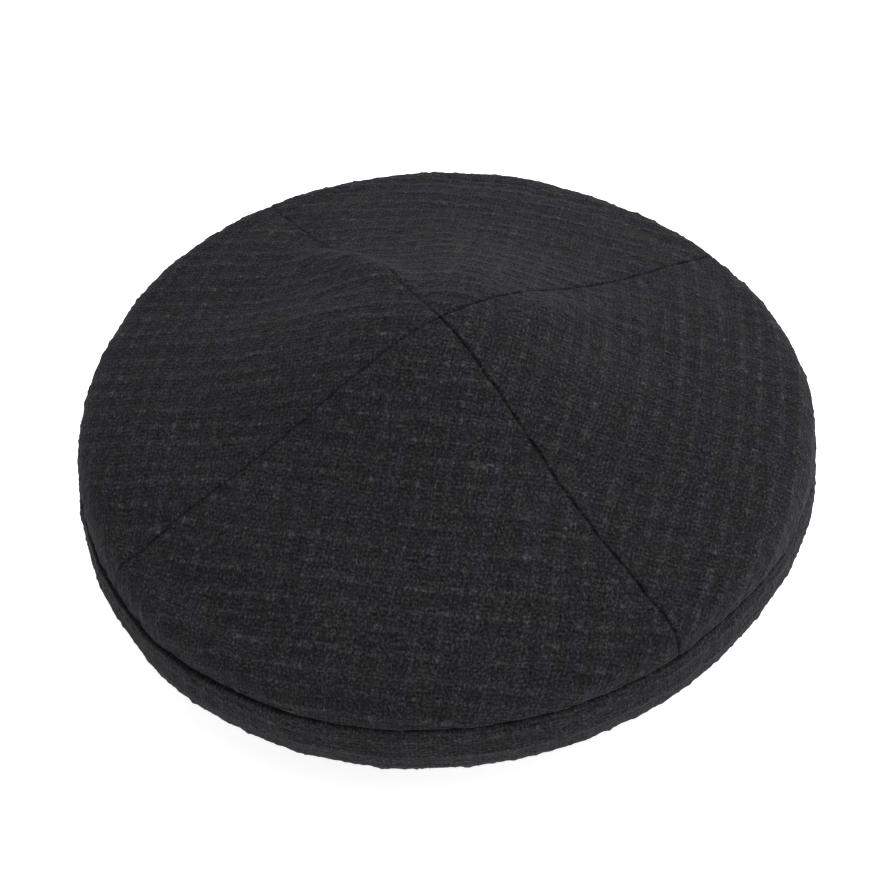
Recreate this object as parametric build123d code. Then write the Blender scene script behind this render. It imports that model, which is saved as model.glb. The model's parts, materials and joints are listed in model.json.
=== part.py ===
"""A wool tweed beret: a crown of four quarter panels, a side band, an under ring and a headband.

Millimetres. The origin is on the floor under the centre of the head opening, +Z is up, and the
wearer faces -Y. The beret stands on the folded edge of its headband.
Every layer of cloth follows one outline that runs from the apex down over the rim, round the side
band and in under it to the headband. A layer lies between two depths measured inwards from there.
"""
from build123d import *
import math
import os

# driving dimensions of the outline
RIM_RADIUS = 135.0           # the rim seam, where crown and side band meet
RIM_HEIGHT = 62.0            # height of the rim seam over the floor
CROWN_RISE = 33.0            # how far the middle of the crown rises over its flat outer part
CROWN_SPREAD = 69.0          # how wide that rise is
SHOULDER_WIDTH = 12.0        # the crown's rounded outer edge: its half axes
SHOULDER_HEIGHT = 12.0
SHOULDER_END = 105.0         # degrees from the top of that edge down to the rim seam
SIDE_BULGE = 7.0             # the side band's oval section: its half axes
SIDE_HALF_HEIGHT = 15.0
SIDE_START = -52.0           # degrees above and below the widest line of the side band
SIDE_END = 70.0
UNDER_INNER_RADIUS = 92.0    # where the under ring meets the headband
UNDER_SLOPE = 7.0            # rise of the under ring from the headband to the edge
UNDER_TURN = 4.5             # extra rise where it turns up into the side band
UNDER_TURN_POWER = 5

# headband, from the wearer's head outwards
BAND_HEIGHT = 22.0
HEAD_RADIUS = 90.5           # a 57 cm head
RIBBON_THICKNESS = 0.7
RIBBON_HEIGHT = 19.0
RIBBON_FOOT = 2.0            # the ribbon's lower edge over the floor
INTERLINING_THICKNESS = 0.6
LAYER_GAP = 0.1

# cloth layers, as depths under the outline
TWEED = (0.0, 1.4)
INTERFACING = (1.5, 1.9)
LINING = (2.5, 2.8)
UNDER_LINING = (1.8, 2.1)
MAKER_LABEL = (3.0, 3.4)
LABEL_STITCHES = (3.5, 3.7)
THREAD = (0.5, 0.9)

# seams and threads
SEAM_GAP = 0.9               # the valley between two pieces of tweed
LINING_GAP = 0.4
THREAD_WIDTH = 0.4
THREAD_RADIUS = 0.22

# labels
MAKER_LABEL_SIZE = (46.0, 26.0)
STITCH_LENGTH = 2.4
STITCH_PITCH = 4.0
STITCH_WIDTH = 0.5
STITCH_MARGIN = 1.5          # from the label's edge to its line of stitches
CARE_LABEL_SIZE = (28.0, 20.0, 0.5)
CARE_LABEL_ROOT = (91.2, 26.4)   # distance behind the centre, and height, of its sewn edge
CARE_LABEL_LIFT = 11.0       # degrees that it slopes up as it lies on the lining

# where the outline's stations are taken
CROWN_STATIONS = 15
SIDE_STATIONS = 7
UNDER_STATIONS = 9
SHOULDER_SHARE = 0.55        # part of the crown's stations before its rounded edge
SMALL_STEP = 1e-4

PANELS = {"right": -45.0, "back": 45.0, "left": 135.0, "front": 225.0}
HALVES = {"right": -90.0, "left": 90.0}
CUTTER = 400.0               # longer than the beret is wide

SHOULDER_RADIUS = RIM_RADIUS - SHOULDER_WIDTH * math.sin(math.radians(SHOULDER_END))
SHOULDER_Z = RIM_HEIGHT + SEAM_GAP / 2 - SHOULDER_HEIGHT * math.cos(math.radians(SHOULDER_END))
SIDE_RADIUS = RIM_RADIUS - SIDE_BULGE * math.cos(math.radians(SIDE_START))
SIDE_Z = RIM_HEIGHT - SEAM_GAP / 2 + SIDE_HALF_HEIGHT * math.sin(math.radians(SIDE_START))
UNDER_INNER_Z = BAND_HEIGHT + 1.3


def crown_bump(radius):
    """Height that the soft cone in the middle of the crown adds at a radius."""
    at_rim = math.exp(-((RIM_RADIUS / CROWN_SPREAD) ** 2))
    return CROWN_RISE * (math.exp(-((radius / CROWN_SPREAD) ** 2)) - at_rim)


def crown_outline(s):
    """Radius and height of the crown's outside, from the apex (s = 0) to the rim seam (s = 1)."""
    if s < SHOULDER_SHARE:
        radius = SHOULDER_RADIUS * s / SHOULDER_SHARE
        return radius, SHOULDER_Z + SHOULDER_HEIGHT + crown_bump(radius)
    turn = math.radians(SHOULDER_END * (s - SHOULDER_SHARE) / (1 - SHOULDER_SHARE))
    radius = SHOULDER_RADIUS + SHOULDER_WIDTH * math.sin(turn)
    return radius, SHOULDER_Z + SHOULDER_HEIGHT * math.cos(turn) + crown_bump(radius)


def side_outline(s):
    """Radius and height of the side band's outside, from the rim seam down to the lower seam."""
    turn = math.radians(SIDE_START + (SIDE_END - SIDE_START) * s)
    return SIDE_RADIUS + SIDE_BULGE * math.cos(turn), SIDE_Z - SIDE_HALF_HEIGHT * math.sin(turn)


def under_outline(s):
    """Radius and height of the under ring's outside, from the lower seam in to the headband."""
    edge_radius, _ = side_outline(1)
    start = edge_radius - SEAM_GAP / 2
    radius = start + (UNDER_INNER_RADIUS - start) * s
    rise = UNDER_SLOPE * (1 - s) + UNDER_TURN * (1 - s) ** UNDER_TURN_POWER
    return radius, UNDER_INNER_Z + rise


def inset_point(outline, s, depth):
    """The point at a depth inside an outline, square to it."""
    r0, z0 = outline(s - SMALL_STEP)
    r1, z1 = outline(s + SMALL_STEP)
    radius, height = outline(s)
    length = math.hypot(r1 - r0, z1 - z0)
    return radius + depth * (z1 - z0) / length, height - depth * (r1 - r0) / length


def section(outline, stations, depths):
    """The closed section between two depths, standing on the XZ plane."""
    steps = [i / (stations - 1) for i in range(stations)]
    outer = [inset_point(outline, s, depths[0]) for s in steps]
    inner = [inset_point(outline, s, depths[1]) for s in steps]
    edges = Spline(*outer) + Line(outer[-1], inner[-1]) + Spline(*reversed(inner)) + Line(inner[0], outer[0])
    return Plane.XZ * make_face(edges)


def crown_section(depths):
    return section(crown_outline, CROWN_STATIONS, depths)


def side_section(depths):
    return section(side_outline, SIDE_STATIONS, depths)


def under_section(depths):
    return section(under_outline, UNDER_STATIONS, depths)


def turned(face, start=0.0, sweep=360.0):
    """A section turned about the hat's axis, from one bearing through an angle."""
    return Rot(Z=start) * revolve(face, Axis.Z, revolution_arc=sweep)


def slab(bearing, width, reach=CUTTER):
    """An upright cutter along a seam: from the axis outwards on one bearing."""
    return Rot(Z=bearing) * Pos(reach / 2, 0, 0) * Box(reach, width, CUTTER)


def sector(face, start, sweep, gap):
    """A piece of a layer between two seams, with half of each seam's gap taken off it."""
    return turned(face, start, sweep) - slab(start, gap) - slab(start + sweep, gap)


def joined_ring(face, gap):
    """A strip bent into a ring, with its ends meeting at the back."""
    return turned(face) - slab(90, gap)


def seam_strip(face, bearing):
    """The thread of a seam that runs up and down the hat on one bearing."""
    return Rot(Z=bearing) * extrude(face, amount=THREAD_WIDTH / 2, both=True)


def thread_ring(radius, height):
    """The thread of a seam that runs round the hat."""
    return Pos(0, 0, height) * Torus(radius, THREAD_RADIUS)


def panels(name, depths, gap):
    """Four quarter panels of one layer of the crown."""
    face = crown_section(depths)
    return {f"{name}_{side}": sector(face, start, 90, gap) for side, start in PANELS.items()}


def under_halves(name, depths, gap):
    """Two halves of one layer of the under ring, joined at the front and the back."""
    face = under_section(depths)
    return {f"{name}_{side}": sector(face, start, 180, gap) for side, start in HALVES.items()}


def crown_seam_thread():
    """One long seam across the apex, and two short seams that stop beside it."""
    face = crown_section(THREAD)
    long_seam = seam_strip(face, 45) + seam_strip(face, 225)
    apex = Rot(Z=45) * Box(CUTTER, SEAM_GAP, CUTTER)
    short_seams = [seam_strip(face, bearing) - apex for bearing in (135, 315)]
    return Compound(children=[long_seam, *short_seams])


def under_ring_seam_thread():
    face = under_section(THREAD)
    return Compound(children=[seam_strip(face, bearing) for bearing in (90, 270)])


def between_seams(first, second):
    """The thread in the valley between the ends of two outlines."""
    depth = sum(THREAD) / 2
    r0, z0 = inset_point(first, 1, depth)
    r1, z1 = inset_point(second, 0, depth)
    return thread_ring((r0 + r1) / 2, (z0 + z1) / 2)


def tube(inner, outer, low, high):
    """A plain upright ring."""
    height = high - low
    ring = Cylinder(outer, height) - Cylinder(inner, height)
    return Pos(0, 0, (low + high) / 2) * ring


def headband_parts():
    """The folded headband, the tape inside its fold, and the ribbon next to the head."""
    tweed = TWEED[1]
    ribbon_outer = HEAD_RADIUS + RIBBON_THICKNESS
    inner_face = ribbon_outer + LAYER_GAP
    tape_inner = inner_face + tweed + LAYER_GAP
    tape_outer = tape_inner + INTERLINING_THICKNESS
    outer_face = tape_outer + LAYER_GAP + tweed
    fold = tube(inner_face, outer_face, 0, BAND_HEIGHT)
    pocket = tube(tape_inner - LAYER_GAP, tape_outer + LAYER_GAP, tweed, BAND_HEIGHT)
    return {
        "headband": fold - pocket - slab(90, SEAM_GAP),
        "headband_interlining": tube(tape_inner, tape_outer, tweed + LAYER_GAP, BAND_HEIGHT),
        "sweatband": tube(HEAD_RADIUS, ribbon_outer, RIBBON_FOOT, RIBBON_FOOT + RIBBON_HEIGHT),
        "headband_seam_thread": thread_ring((inner_face + outer_face) / 2, BAND_HEIGHT + 0.5),
        "sweatband_seam_thread": thread_ring(
            HEAD_RADIUS + RIBBON_THICKNESS / 2, RIBBON_FOOT + RIBBON_HEIGHT + 0.4
        ),
    }


def maker_label():
    """A blank woven label that lies along the crown lining under the apex."""
    width, depth = MAKER_LABEL_SIZE
    return turned(crown_section(MAKER_LABEL)) & Box(width, depth, CUTTER)


def stitch_row(length, offset, across):
    """Upright posts, one for each stitch of a straight row."""
    count = int(length // STITCH_PITCH)
    posts = []
    for i in range(count):
        along = (i - (count - 1) / 2) * STITCH_PITCH
        post = Box(STITCH_LENGTH, STITCH_WIDTH, CUTTER)
        posts.append(Pos(offset, along, 0) * Rot(Z=90) * post if across else Pos(along, offset, 0) * post)
    return posts


def maker_label_stitching():
    """The running stitches round the maker's label, each a separate solid."""
    width, depth = (side - 2 * STITCH_MARGIN for side in MAKER_LABEL_SIZE)
    posts = []
    for side in (-1, 1):
        posts += stitch_row(width - STITCH_PITCH, side * depth / 2, across=False)
        posts += stitch_row(depth - STITCH_PITCH, side * width / 2, across=True)
    layer = turned(crown_section(LABEL_STITCHES))
    return Compound(children=[layer & post for post in posts])


def care_label():
    """A folded tape label, caught in the headband seam at the back, lying out over the lining."""
    width, length, thickness = CARE_LABEL_SIZE
    behind, height = CARE_LABEL_ROOT
    flat = Pos(0, length / 2, 0) * Box(width, length, thickness)
    return Pos(0, behind, height) * Rot(X=CARE_LABEL_LIFT) * flat


def beret():
    """Every node of the hat, by name."""
    nodes = {}
    nodes |= panels("crown_panel", TWEED, SEAM_GAP)
    nodes |= panels("crown_interfacing", INTERFACING, SEAM_GAP)
    nodes |= panels("crown_lining", LINING, LINING_GAP)
    nodes |= under_halves("under_ring", TWEED, SEAM_GAP)
    nodes |= under_halves("under_lining", UNDER_LINING, LINING_GAP)
    nodes["side_band"] = joined_ring(side_section(TWEED), SEAM_GAP)
    nodes["side_band_interfacing"] = joined_ring(side_section(INTERFACING), SEAM_GAP)
    nodes["side_lining"] = joined_ring(side_section(LINING), LINING_GAP)
    nodes |= headband_parts()
    nodes["crown_seam_thread"] = crown_seam_thread()
    nodes["side_band_join_thread"] = seam_strip(side_section(THREAD), 90)
    nodes["under_ring_seam_thread"] = under_ring_seam_thread()
    nodes["rim_seam_thread"] = between_seams(crown_outline, side_outline)
    nodes["lower_seam_thread"] = between_seams(side_outline, under_outline)
    nodes["maker_label"] = maker_label()
    nodes["maker_label_stitching"] = maker_label_stitching()
    nodes["care_label"] = care_label()
    return nodes


os.makedirs("parts", exist_ok=True)
for node, shape in beret().items():
    export_step(shape, f"parts/{node}.step")
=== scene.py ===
"""The looks of a wool tweed beret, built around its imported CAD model.

Lengths are in metres. The layers of cloth follow the CAD model's outline, which runs from the apex down
over the rim, round the side band and in under it to the headband. Cloth edges lie closer together at
the seams, and at the headband, than in the CAD model. One field of soft waves and bulges, which the
CAD model doesn't have, moves the crown's layers together, and another the headband's, so that none
comes through another.
"""
import json
import math

import bpy
import numpy as np
from mathutils import Matrix, Vector


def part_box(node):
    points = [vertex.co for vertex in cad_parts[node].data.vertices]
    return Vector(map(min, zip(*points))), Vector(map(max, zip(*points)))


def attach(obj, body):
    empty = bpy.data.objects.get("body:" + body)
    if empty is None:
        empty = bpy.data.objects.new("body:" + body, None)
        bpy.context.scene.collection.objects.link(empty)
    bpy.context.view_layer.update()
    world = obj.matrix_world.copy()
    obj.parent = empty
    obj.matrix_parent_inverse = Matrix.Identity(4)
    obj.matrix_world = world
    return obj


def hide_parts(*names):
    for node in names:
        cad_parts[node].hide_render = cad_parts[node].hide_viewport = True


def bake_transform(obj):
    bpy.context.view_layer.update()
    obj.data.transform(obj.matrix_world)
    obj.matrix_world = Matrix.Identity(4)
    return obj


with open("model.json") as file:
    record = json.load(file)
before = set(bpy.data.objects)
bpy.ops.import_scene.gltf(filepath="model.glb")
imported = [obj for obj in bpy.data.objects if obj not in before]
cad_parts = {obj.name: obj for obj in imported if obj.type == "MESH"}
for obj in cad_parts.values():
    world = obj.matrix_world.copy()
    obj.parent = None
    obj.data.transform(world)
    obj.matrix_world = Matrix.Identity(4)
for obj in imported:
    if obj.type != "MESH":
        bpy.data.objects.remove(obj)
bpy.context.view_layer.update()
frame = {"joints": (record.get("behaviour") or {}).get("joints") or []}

MM = 0.001

# ---- sizes shared with the CAD model
CAD_SEAM_GAP = 0.9 * MM
RIM_RADIUS = 135 * MM
RIM_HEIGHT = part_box("side_band")[1].z + CAD_SEAM_GAP / 2
CROWN_RISE = 33 * MM
CROWN_SPREAD = 69 * MM
SHOULDER_WIDTH = 12 * MM
SHOULDER_HEIGHT = 12 * MM
SHOULDER_END = math.radians(105)
SHOULDER_SHARE = 0.55
SIDE_BULGE = 7 * MM
SIDE_HALF_HEIGHT = 15 * MM
SIDE_START = math.radians(-52)
SIDE_END = math.radians(70)
UNDER_SLOPE = 7 * MM
UNDER_TURN_POWER = 5
BAND_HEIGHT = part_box("headband")[1].z
BAND_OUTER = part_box("headband")[1].x
RIBBON_THICKNESS = 0.7 * MM
HEAD_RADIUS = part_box("sweatband")[1].x - RIBBON_THICKNESS
RIBBON_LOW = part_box("sweatband")[0].z
RIBBON_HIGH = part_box("sweatband")[1].z
BAND_INNER = HEAD_RADIUS + RIBBON_THICKNESS + 0.1 * MM
TWEED_THICKNESS = 1.4 * MM
THREAD_RADIUS = 0.22 * MM

# the join at the headband, which is closer here than in the CAD model
UNDER_INNER_RADIUS = 92.9 * MM
UNDER_INNER_Z = BAND_HEIGHT + 0.2 * MM
INNER_PLY_RISE = 1.0 * MM    # the headband's inner ply stands up behind the under ring's edge
HEAD_SEAM_RADIUS = BAND_INNER + TWEED_THICKNESS + 0.3 * MM   # its thread runs in the headband's fold
HEAD_SEAM_Z = BAND_HEIGHT - 0.35 * MM

# depths of the layers under the outline
INTERFACING = (1.55 * MM, 1.95 * MM)
LINING = (2.3 * MM, 2.6 * MM)
UNDER_LINING = (1.7 * MM, 1.95 * MM)
LABEL_GAP = 0.2 * MM
LABEL_THICKNESS = 0.4 * MM

SEAM_GAP = 0.16 * MM         # between two cloth edges at the bottom of a seam's valley
SHOULDER_RADIUS = RIM_RADIUS - SHOULDER_WIDTH * math.sin(SHOULDER_END)
SHOULDER_Z = RIM_HEIGHT + SEAM_GAP / 2 - SHOULDER_HEIGHT * math.cos(SHOULDER_END)
SIDE_RADIUS = RIM_RADIUS - SIDE_BULGE * math.cos(SIDE_START)
SIDE_Z = RIM_HEIGHT - SEAM_GAP / 2 + SIDE_HALF_HEIGHT * math.sin(SIDE_START)

PANEL_BEARINGS = {"right": 0.0, "back": 90.0, "left": 180.0, "front": 270.0}
HALF_BEARINGS = {"right": 0.0, "left": 180.0}
QUARTER = math.radians(90)
HALF_TURN = math.radians(180)
FULL_TURN = math.radians(360)
BACK = math.radians(90)

# ---- softness of the cloth
SADDLE_HEIGHT = 3.6 * MM     # the rim's gentle saddle: two sides up, two sides down
SADDLE_BEARING = math.radians(14.9)
WAVE_HEIGHT = 0.42 * MM
PILLOW_HEIGHT = 1.0 * MM     # how far each crown panel stands proud between its seams
SHOULDER_SAG = 2.2 * MM      # eases the start of the crown's rounded edge
SAG_WIDTH = 10 * MM
SAG_REACH = 14 * MM
# soft places of the crown: bearing, radius, length along the radius, width across it, height
SOFT_PLACES = [
    (160, 84 * MM, 22 * MM, 20 * MM, -1.4 * MM),
    (28, 40 * MM, 17 * MM, 10 * MM, 2.4 * MM),
    (14, 66 * MM, 20 * MM, 13 * MM, -1.3 * MM),
    (70, 72 * MM, 24 * MM, 22 * MM, -1.4 * MM),
    (118, 50 * MM, 24 * MM, 14 * MM, -1.6 * MM),
    (200, 70 * MM, 34 * MM, 24 * MM, 1.0 * MM),
    (236, 119 * MM, 15 * MM, 44 * MM, -4.8 * MM),
    (292, 80 * MM, 30 * MM, 26 * MM, 1.0 * MM),
    (330, 96 * MM, 22 * MM, 24 * MM, -1.0 * MM),
]
# places where the rim seam hangs lower: bearing, half width in degrees, drop
RIM_DROPS = [(227, 22, 3.6 * MM), (347, 15, 4.2 * MM), (205, 16, 1.5 * MM)]
RIM_DROP_REACH = 15 * MM
# the fold beside the back left seam: its crest's ends (bearing, radius), height, width on each side
FOLD_START = (141, 84 * MM)
FOLD_END = (132, 29 * MM)
FOLD_HEIGHT = 4.3 * MM
FOLD_NEAR_WIDTH = 10.5 * MM
FOLD_FAR_WIDTH = 5.5 * MM
FOLD_PUSH = 4.2 * MM         # how far the fold pushes its seam sideways
FOLD_PUSH_REACH = 17 * MM
FOLD_SEAM = math.radians(135)
FOLD_PUSH_RADIUS = 56 * MM   # the middle of the pushed stretch, and how far it goes either way
FOLD_PUSH_LENGTH = 26 * MM
LEAN = 1.9 * MM              # the apex sits a little off centre
LEAN_BEARING = math.radians(14.9)
LEAN_REACH = 75 * MM
WOBBLE = 0.11 * MM           # how far the crown's seams wander
WOBBLE_START = 12 * MM
HEAD_WAVE_HEIGHT = 0.35 * MM
GATHER_HEIGHT = 0.22 * MM    # small gathers where the under ring meets the headband
GATHER_START = 5 * MM
GATHER_REACH = 13 * MM
STILL_REACH = 3 * MM         # the big waves are gone this close to the headband
WAVE_FADE = 36 * MM
NORMAL_REACH = 7 * MM
SEAM_DEPTH = 0.55 * MM
SEAM_WIDTH = 0.55 * MM
# strength of the shade painted dark into the seams' valleys
PAINTED_SEAM_SHADE = 2.0
SEAM_SHARP_BEARING = math.radians(345)   # the seams are crisp on this side and pressed flat opposite
RIM_FILL = 1.2 * MM          # how far the seam allowances push the rim's valley out where it is pressed flat
RIM_FILL_REACH = 2.6 * MM
# width of the shade painted into the seams' valleys
PAINTED_SEAM_SHADE_WIDTH = 0.55 * MM
HEAD_SEAM_OFFSET = 0.8 * MM  # the headband's seam lies this far beyond the edges that it joins
LINING_SLACK = 0.9 * MM
UNDER_LINING_SLACK = 0.3 * MM
PUCKER_HEIGHT = 0.22 * MM
PUCKER_REACH = 6 * MM

# ---- weave
YARN = 1.5 * MM              # width of one yarn of the ground weave
ROW_PITCH = 7.4 * MM         # between the thicker, nubby yarns
BOLT_SIZE = 1024             # samples along each side of the bolt of cloth
BOLT_STEP = 0.3 * MM
CONE_SHARE = 0.87            # how much a crown panel's angle closes when it is laid flat
BOLT_SEED = 11
FUZZ_DRAW = 0.66             # the loose fibres are longer one way than the other
PROUD_YARN = 0.55 * MM       # relief that lightens the cloth as much as one slub does: painted light on raised yarn, and painted shade in its hollows
SMALL_NUBS = 5200
TWEED_STEP = 4               # the inside of the tweed has every fourth point of its outside
FUZZ_SHIFT = 0.31            # moves the fibres from piece to piece, by the length of its name
SHARP_ANGLE = math.radians(62)
RIB_PITCH = 0.9 * MM
RIB_DEPTH = 0.1 * MM


def smoothstep(x):
    x = np.clip(x, 0, 1)
    return x * x * (3 - 2 * x)


# ==== outlines
def crown_bump(radius):
    at_rim = math.exp(-((RIM_RADIUS / CROWN_SPREAD) ** 2))
    return CROWN_RISE * (np.exp(-((radius / CROWN_SPREAD) ** 2)) - at_rim)


def crown_curve(s):
    """Radius and height of the crown's outside, from the apex to the rim seam."""
    turn = SHOULDER_END * np.clip((s - SHOULDER_SHARE) / (1 - SHOULDER_SHARE), 0, 1)
    flat = SHOULDER_RADIUS * np.minimum(s / SHOULDER_SHARE, 1)
    radius = flat + SHOULDER_WIDTH * np.sin(turn)
    return radius, SHOULDER_Z + SHOULDER_HEIGHT * np.cos(turn) + crown_bump(radius)


def side_curve(s):
    """The side band's outside, from the rim seam down to the lower seam."""
    turn = SIDE_START + (SIDE_END - SIDE_START) * s
    return SIDE_RADIUS + SIDE_BULGE * np.cos(turn), SIDE_Z - SIDE_HALF_HEIGHT * np.sin(turn)


def under_curve(s):
    """The under ring's outside, from the lower seam in to the headband."""
    edge_radius, edge_z = side_curve(1.0)
    start = edge_radius - SEAM_GAP / 2
    radius = start + (UNDER_INNER_RADIUS - start) * s
    rise = edge_z - SEAM_GAP / 2 - UNDER_INNER_Z - UNDER_SLOPE
    return radius, UNDER_INNER_Z + UNDER_SLOPE * (1 - s) + rise * (1 - s) ** UNDER_TURN_POWER


def headband_curve(s):
    """The folded headband, from its outer top edge down, round the fold and up its inner face."""
    fold = (BAND_OUTER - BAND_INNER) / 2
    middle = (BAND_OUTER + BAND_INNER) / 2
    leg = BAND_HEIGHT - fold
    total = 2 * leg + math.pi * fold + INNER_PLY_RISE
    along = s * total
    turn = np.clip((along - leg) / fold, 0, math.pi)
    past = np.clip(along - leg - math.pi * fold, 0, leg + INNER_PLY_RISE)
    radius = middle + fold * np.cos(turn)
    height = BAND_HEIGHT - np.minimum(along, leg) - fold * np.sin(turn) + past
    return radius, height


def ribbon_curve(s):
    """The ribbon's face, next to the head, from its lower edge up."""
    return HEAD_RADIUS + 0 * s, RIBBON_LOW + (RIBBON_HIGH - RIBBON_LOW) * s


def tape_curve(s):
    """The stiff tape inside the headband's fold, from its top down."""
    radius = BAND_OUTER - TWEED_THICKNESS - 0.05 * MM
    low = TWEED_THICKNESS + 0.3 * MM
    return radius + 0 * s, BAND_HEIGHT - (BAND_HEIGHT - low) * s


class Outline:
    """A curve of radius and height, measured by the length along it, with its inward normal."""

    SAMPLES = 6000

    def __init__(self, curve, soft):
        s = np.linspace(0, 1, self.SAMPLES)
        self.radius, self.height = curve(s)
        step_r = np.gradient(self.radius)
        step_z = np.gradient(self.height)
        step = np.hypot(step_r, step_z)
        self.normal_r = step_z / step
        self.normal_z = -step_r / step
        pieces = np.hypot(np.diff(self.radius), np.diff(self.height))
        self.length = np.concatenate([[0], np.cumsum(pieces)])
        self.total = self.length[-1]
        self.soft = soft

    def at(self, length):
        values = (self.radius, self.height, self.normal_r, self.normal_z)
        return [np.interp(length, self.length, value) for value in values]


# ==== softness
def wave_terms(seed, orders):
    """Seeded phases of a few waves round the hat."""
    draws = np.random.default_rng(seed)
    return [(order, draws.uniform(0, FULL_TURN), draws.uniform(-0.06, 0.06) / MM) for order in orders]


BODY_WAVES = wave_terms(3, (3, 5, 7, 10, 14, 19, 27, 37))
HEAD_WAVES = wave_terms(5, (3, 5, 8, 13))
GATHERS = wave_terms(9, (41, 53, 67, 83))


def waves(terms, bearing, along):
    total = 0
    for order, phase, twist in terms:
        total = total + np.cos(order * bearing + phase + twist * along) / math.sqrt(order)
    return total


def saddle(bearing):
    return -SADDLE_HEIGHT * np.sin(2 * (bearing - SADDLE_BEARING))


def soft_places(radius, bearing):
    """The crown's listed bulges and hollows."""
    total = 0
    for degrees, at_radius, length, width, height in SOFT_PLACES:
        middle = math.radians(degrees)
        along = radius * np.cos(bearing - middle) - at_radius
        across = radius * np.sin(bearing - middle)
        total = total + height * np.exp(-((along / length) ** 2) - (across / width) ** 2)
    return total


def rim_drop(bearing, distance):
    """How far the cloth hangs down near the rim seam, where the hat's edge has rolled over."""
    total = 0
    for degrees, width, drop in RIM_DROPS:
        turned = np.arctan2(np.sin(bearing - math.radians(degrees)), np.cos(bearing - math.radians(degrees)))
        total = total + drop * np.exp(-((turned / math.radians(width)) ** 2))
    return total * np.exp(-((distance / RIM_DROP_REACH) ** 2))


def on_floor_plan(place):
    """A bearing in degrees and a radius as x, y."""
    return np.array([math.cos(math.radians(place[0])), math.sin(math.radians(place[0]))]) * place[1]


def fold(radius, bearing):
    """The fold's height: steep towards its seam and gentle on the other side."""
    start, end = on_floor_plan(FOLD_START), on_floor_plan(FOLD_END)
    run = np.linalg.norm(end - start)
    ahead = (end - start) / run
    x = radius * np.cos(bearing) - start[0]
    y = radius * np.sin(bearing) - start[1]
    share = (x * ahead[0] + y * ahead[1]) / run
    across = y * ahead[0] - x * ahead[1]
    width = np.where(across > 0, FOLD_FAR_WIDTH, FOLD_NEAR_WIDTH)
    return FOLD_HEIGHT * np.exp(-((across / width) ** 2) - ((share - 0.5) / 0.5) ** 4)


def sideways(radius, bearing):
    """Horizontal shift of the crown's cloth: its lean, the push of the fold, and seams that wander."""
    lean = LEAN * np.exp(-((radius / LEAN_REACH) ** 2))
    off_seam = radius * np.sin(bearing - FOLD_SEAM)
    along = (radius * np.cos(bearing - FOLD_SEAM) - FOLD_PUSH_RADIUS) / FOLD_PUSH_LENGTH
    push = FOLD_PUSH * np.exp(-((off_seam / FOLD_PUSH_REACH) ** 2) - along**2)
    wander = np.sin(radius / (2.1 * MM) + 3 * bearing) + np.sin(radius / (3.7 * MM) - 5 * bearing)
    wander = WOBBLE * wander * smoothstep(radius / WOBBLE_START)
    pushed = FOLD_SEAM - QUARTER
    x = lean * math.cos(LEAN_BEARING) + push * math.cos(pushed) - wander * np.sin(bearing)
    y = lean * math.sin(LEAN_BEARING) + push * math.sin(pushed) + wander * np.cos(bearing)
    return x, y


def crown_softness(radius, bearing, along):
    """Outward and upward shift of the crown's cloth."""
    share = radius / RIM_RADIUS
    pillow = np.sin(2 * (bearing - QUARTER / 2)) ** 2 * np.sin(math.pi * np.clip(share, 0, 1)) ** 0.8
    out = PILLOW_HEIGHT * pillow + soft_places(radius, bearing) + fold(radius, bearing)
    out = out + WAVE_HEIGHT * waves(BODY_WAVES, bearing, along) * share**1.5
    sag = SHOULDER_SAG * np.exp(-(((radius - SHOULDER_RADIUS) / SAG_WIDTH) ** 2))
    sag = sag * smoothstep(-along / SAG_REACH)
    return out - sag, saddle(bearing) * share**2 - rim_drop(bearing, along)


def side_softness(radius, bearing, along):
    lift = saddle(bearing) - rim_drop(bearing, along)
    return WAVE_HEIGHT * waves(BODY_WAVES, bearing, along), lift


def under_softness(radius, bearing, along):
    """The waves die out towards the headband, where small gathers take over."""
    out = radius - UNDER_INNER_RADIUS
    share = smoothstep((out - STILL_REACH) / WAVE_FADE)
    near = np.exp(-((out / GATHER_REACH) ** 2)) * smoothstep(out / GATHER_START)
    gathers = GATHER_HEIGHT * waves(GATHERS, bearing, along) * near
    return WAVE_HEIGHT * waves(BODY_WAVES, bearing, along) * share + gathers, saddle(bearing) * share


def no_softness(radius, bearing, along):
    """The layers at the headband have no bulges of their own; head_shift moves them together."""
    return 0, 0


def share_normal(above, below):
    """Turns the normals of two outlines towards each other at their seam, so that their layers meet."""
    middle_r = above.normal_r[-1] + below.normal_r[0]
    middle_z = above.normal_z[-1] + below.normal_z[0]
    size = math.hypot(middle_r, middle_z)
    for outline, distance in ((above, above.total - above.length), (below, below.length)):
        share = 1 - smoothstep(distance / NORMAL_REACH)
        normal_r = outline.normal_r * (1 - share) + middle_r / size * share
        normal_z = outline.normal_z * (1 - share) + middle_z / size * share
        length = np.hypot(normal_r, normal_z)
        outline.normal_r, outline.normal_z = normal_r / length, normal_z / length


CROWN = Outline(crown_curve, crown_softness)
SIDE = Outline(side_curve, side_softness)
UNDER = Outline(under_curve, under_softness)
share_normal(CROWN, SIDE)
share_normal(SIDE, UNDER)
HEADBAND = Outline(headband_curve, no_softness)
RIBBON = Outline(ribbon_curve, no_softness)
TAPE = Outline(tape_curve, no_softness)
STARTS = {CROWN: -CROWN.total, SIDE: 0.0, UNDER: SIDE.total, HEADBAND: 0.0, RIBBON: 0.0, TAPE: 0.0}


def head_shift(bearing):
    """How far the head opening is out of round at a bearing."""
    return HEAD_WAVE_HEIGHT * waves(HEAD_WAVES, bearing, 0)


def vectors(*parts):
    """Values stretched to one shape and set side by side as vectors."""
    return np.stack(np.broadcast_arrays(*parts), axis=-1)


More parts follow.
